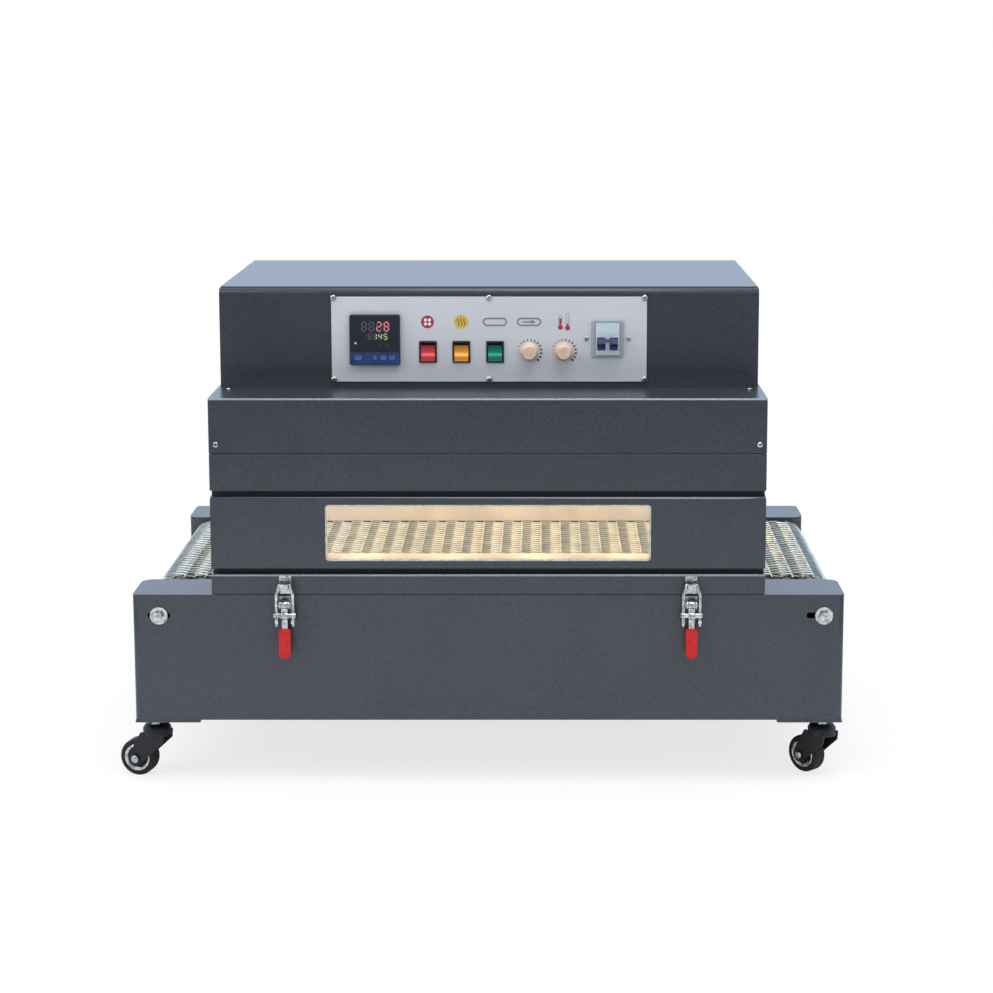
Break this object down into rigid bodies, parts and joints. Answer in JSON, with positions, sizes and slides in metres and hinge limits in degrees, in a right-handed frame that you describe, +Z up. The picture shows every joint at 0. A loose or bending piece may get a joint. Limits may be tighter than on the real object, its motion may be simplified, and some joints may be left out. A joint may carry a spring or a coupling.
{
  "type": "heat shrink tunnel",
  "caption": "Heat shrink tunnel: wire-mesh belt through a latched, windowed hood on a caster base, with a control box on top.",
  "frame": {"origin": "on the floor, under the middle of the outline", "axes": "+X along the belt to the right seen from the window side, +Y to the rear, +Z up"},
  "size_m": [1.0602, 0.61, 0.6976],
  "materials": {
    "powder_coat": "matte",
    "belt_steel": "satin",
    "plain_steel": "satin",
    "zinc_plate": "gloss",
    "grip_vinyl": "gloss",
    "window_edge": "satin",
    "window_glass": "gloss",
    "tunnel_lining": "satin",
    "heater_glow": "satin",
    "panel_silver": "satin",
    "control_black": "matte",
    "rocker_red_lens": "gloss",
    "rocker_amber_lens": "gloss",
    "rocker_green_lens": "gloss",
    "knob_cream": "matte",
    "breaker_grey": "matte",
    "breaker_white": "gloss",
    "breaker_navy": "gloss",
    "caster_nylon": "matte",
    "caster_tread": "matte"
  },
  "bodies": {
    "root": {"base_front_frame": "powder_coat", "base_rear_frame": "powder_coat", "base_end_sheets": "powder_coat", "base_floor_pan": "powder_coat", "hood_left_side": "powder_coat", "hood_right_side": "powder_coat", "hood_front_wall": "powder_coat", "hood_sill_strip": "powder_coat", "window_panel": "powder_coat", "hood_front_band": "powder_coat", "hood_front_cover": "powder_coat", "hood_rear_cover": "powder_coat", "control_box_cover": "powder_coat", "control_box_lid": "powder_coat", "control_box_ends": "powder_coat", "caster_plates": "powder_coat", "belt_bed": "powder_coat", "conveyor_belt": "belt_steel", "end_rollers": "plain_steel", "tension_bolts": "zinc_plate", "caster_stems": "zinc_plate", "latch_bases": "zinc_plate", "latch_catches": "zinc_plate", "window_trim": "window_edge", "window_glass": "window_glass", "tunnel_liner": "tunnel_lining", "window_reveal": "tunnel_lining", "heater_tubes": "heater_glow", "control_panel": "panel_silver", "temperature_controller": "control_black", "switch_bezels": "control_black", "breaker_frame": "breaker_grey", "breaker_body": "breaker_white"},
    "latch_lever_left": {"latch_lever_left": "zinc_plate", "latch_grip_left": "grip_vinyl"},
    "latch_loop_left": {"latch_loop_left": "zinc_plate"},
    "latch_lever_right": {"latch_lever_right": "zinc_plate", "latch_grip_right": "grip_vinyl"},
    "latch_loop_right": {"latch_loop_right": "zinc_plate"},
    "rocker_red": {"rocker_red": "rocker_red_lens"},
    "rocker_amber": {"rocker_amber": "rocker_amber_lens"},
    "rocker_green": {"rocker_green": "rocker_green_lens"},
    "speed_knob": {"speed_knob": "knob_cream"},
    "heat_knob": {"heat_knob": "knob_cream"},
    "breaker_lever": {"breaker_lever": "breaker_navy"},
    "caster_fork_front_left": {"caster_fork_front_left": "caster_nylon"},
    "caster_wheel_front_left": {"caster_wheel_front_left": "caster_tread"},
    "caster_fork_front_right": {"caster_fork_front_right": "caster_nylon"},
    "caster_wheel_front_right": {"caster_wheel_front_right": "caster_tread"},
    "caster_fork_rear_left": {"caster_fork_rear_left": "caster_nylon"},
    "caster_wheel_rear_left": {"caster_wheel_rear_left": "caster_tread"},
    "caster_fork_rear_right": {"caster_fork_rear_right": "caster_nylon"},
    "caster_wheel_rear_right": {"caster_wheel_rear_right": "caster_tread"}
  },
  "joints": [
    {"name": "latch_lever_left_pivot", "type": "hinge", "parent": "root", "child": "latch_lever_left", "pos_m": [-0.2845, -0.2985, 0.2637], "axis": [-1, 0, 0], "range_deg": [0, 90]},
    {"name": "latch_loop_left_swing", "type": "hinge", "parent": "latch_lever_left", "child": "latch_loop_left", "pos_m": [-0.2845, -0.2985, 0.2482], "axis": [-1, 0, 0], "range_deg": [-63, 0]},
    {"name": "latch_lever_right_pivot", "type": "hinge", "parent": "root", "child": "latch_lever_right", "pos_m": [0.2845, -0.2985, 0.2637], "axis": [-1, 0, 0], "range_deg": [0, 90]},
    {"name": "latch_loop_right_swing", "type": "hinge", "parent": "latch_lever_right", "child": "latch_loop_right", "pos_m": [0.2845, -0.2985, 0.2482], "axis": [-1, 0, 0], "range_deg": [-63, 0]},
    {"name": "rocker_red_tilt", "type": "hinge", "parent": "root", "child": "rocker_red", "pos_m": [-0.0872, -0.1835, 0.6051], "axis": [-1, 0, 0], "range_deg": [0, 18]},
    {"name": "rocker_amber_tilt", "type": "hinge", "parent": "root", "child": "rocker_amber", "pos_m": [-0.0396, -0.1835, 0.6051], "axis": [-1, 0, 0], "range_deg": [0, 18]},
    {"name": "rocker_green_tilt", "type": "hinge", "parent": "root", "child": "rocker_green", "pos_m": [0.0084, -0.1835, 0.6051], "axis": [-1, 0, 0], "range_deg": [0, 18]},
    {"name": "speed_knob_turn", "type": "hinge", "parent": "root", "child": "speed_knob", "pos_m": [0.0573, -0.1885, 0.6056], "axis": [0, 1, 0], "range_deg": [-150, 150]},
    {"name": "heat_knob_turn", "type": "hinge", "parent": "root", "child": "heat_knob", "pos_m": [0.1065, -0.1885, 0.6056], "axis": [0, 1, 0], "range_deg": [-150, 150]},
    {"name": "breaker_lever_throw", "type": "hinge", "parent": "root", "child": "breaker_lever", "pos_m": [0.1685, -0.1905, 0.6171], "axis": [1, 0, 0], "range_deg": [0, 50]},
    {"name": "caster_fork_front_left_swivel", "type": "hinge", "parent": "root", "child": "caster_fork_front_left", "pos_m": [-0.476, -0.2495, 0.07], "axis": [0, 0, 1], "continuous": true},
    {"name": "caster_wheel_front_left_spin", "type": "hinge", "parent": "caster_fork_front_left", "child": "caster_wheel_front_left", "pos_m": [-0.50256, -0.24238, 0.0265], "axis": [-0.2588, -0.9659, 0], "continuous": true},
    {"name": "caster_fork_front_right_swivel", "type": "hinge", "parent": "root", "child": "caster_fork_front_right", "pos_m": [0.476, -0.2495, 0.07], "axis": [0, 0, 1], "continuous": true},
    {"name": "caster_wheel_front_right_spin", "type": "hinge", "parent": "caster_fork_front_right", "child": "caster_wheel_front_right", "pos_m": [0.4576, -0.22906, 0.0265], "axis": [-0.7431, -0.6691, 0], "continuous": true},
    {"name": "caster_fork_rear_left_swivel", "type": "hinge", "parent": "root", "child": "caster_fork_rear_left", "pos_m": [-0.476, 0.2605, 0.07], "axis": [0, 0, 1], "continuous": true},
    {"name": "caster_wheel_rear_left_spin", "type": "hinge", "parent": "caster_fork_rear_left", "child": "caster_wheel_rear_left", "pos_m": [-0.4576, 0.24006, 0.0265], "axis": [0.7431, 0.6691, 0], "continuous": true},
    {"name": "caster_fork_rear_right_swivel", "type": "hinge", "parent": "root", "child": "caster_fork_rear_right", "pos_m": [0.476, 0.2605, 0.07], "axis": [0, 0, 1], "continuous": true},
    {"name": "caster_wheel_rear_right_spin", "type": "hinge", "parent": "caster_fork_rear_right", "child": "caster_wheel_rear_right", "pos_m": [0.50256, 0.25338, 0.0265], "axis": [0.2588, 0.9659, 0], "continuous": true}
  ],
  "couplings": [
    {"joint": "latch_loop_left_swing", "follows": "latch_lever_left_pivot", "ratio": -0.7},
    {"joint": "latch_loop_right_swing", "follows": "latch_lever_right_pivot", "ratio": -0.7}
  ]
}
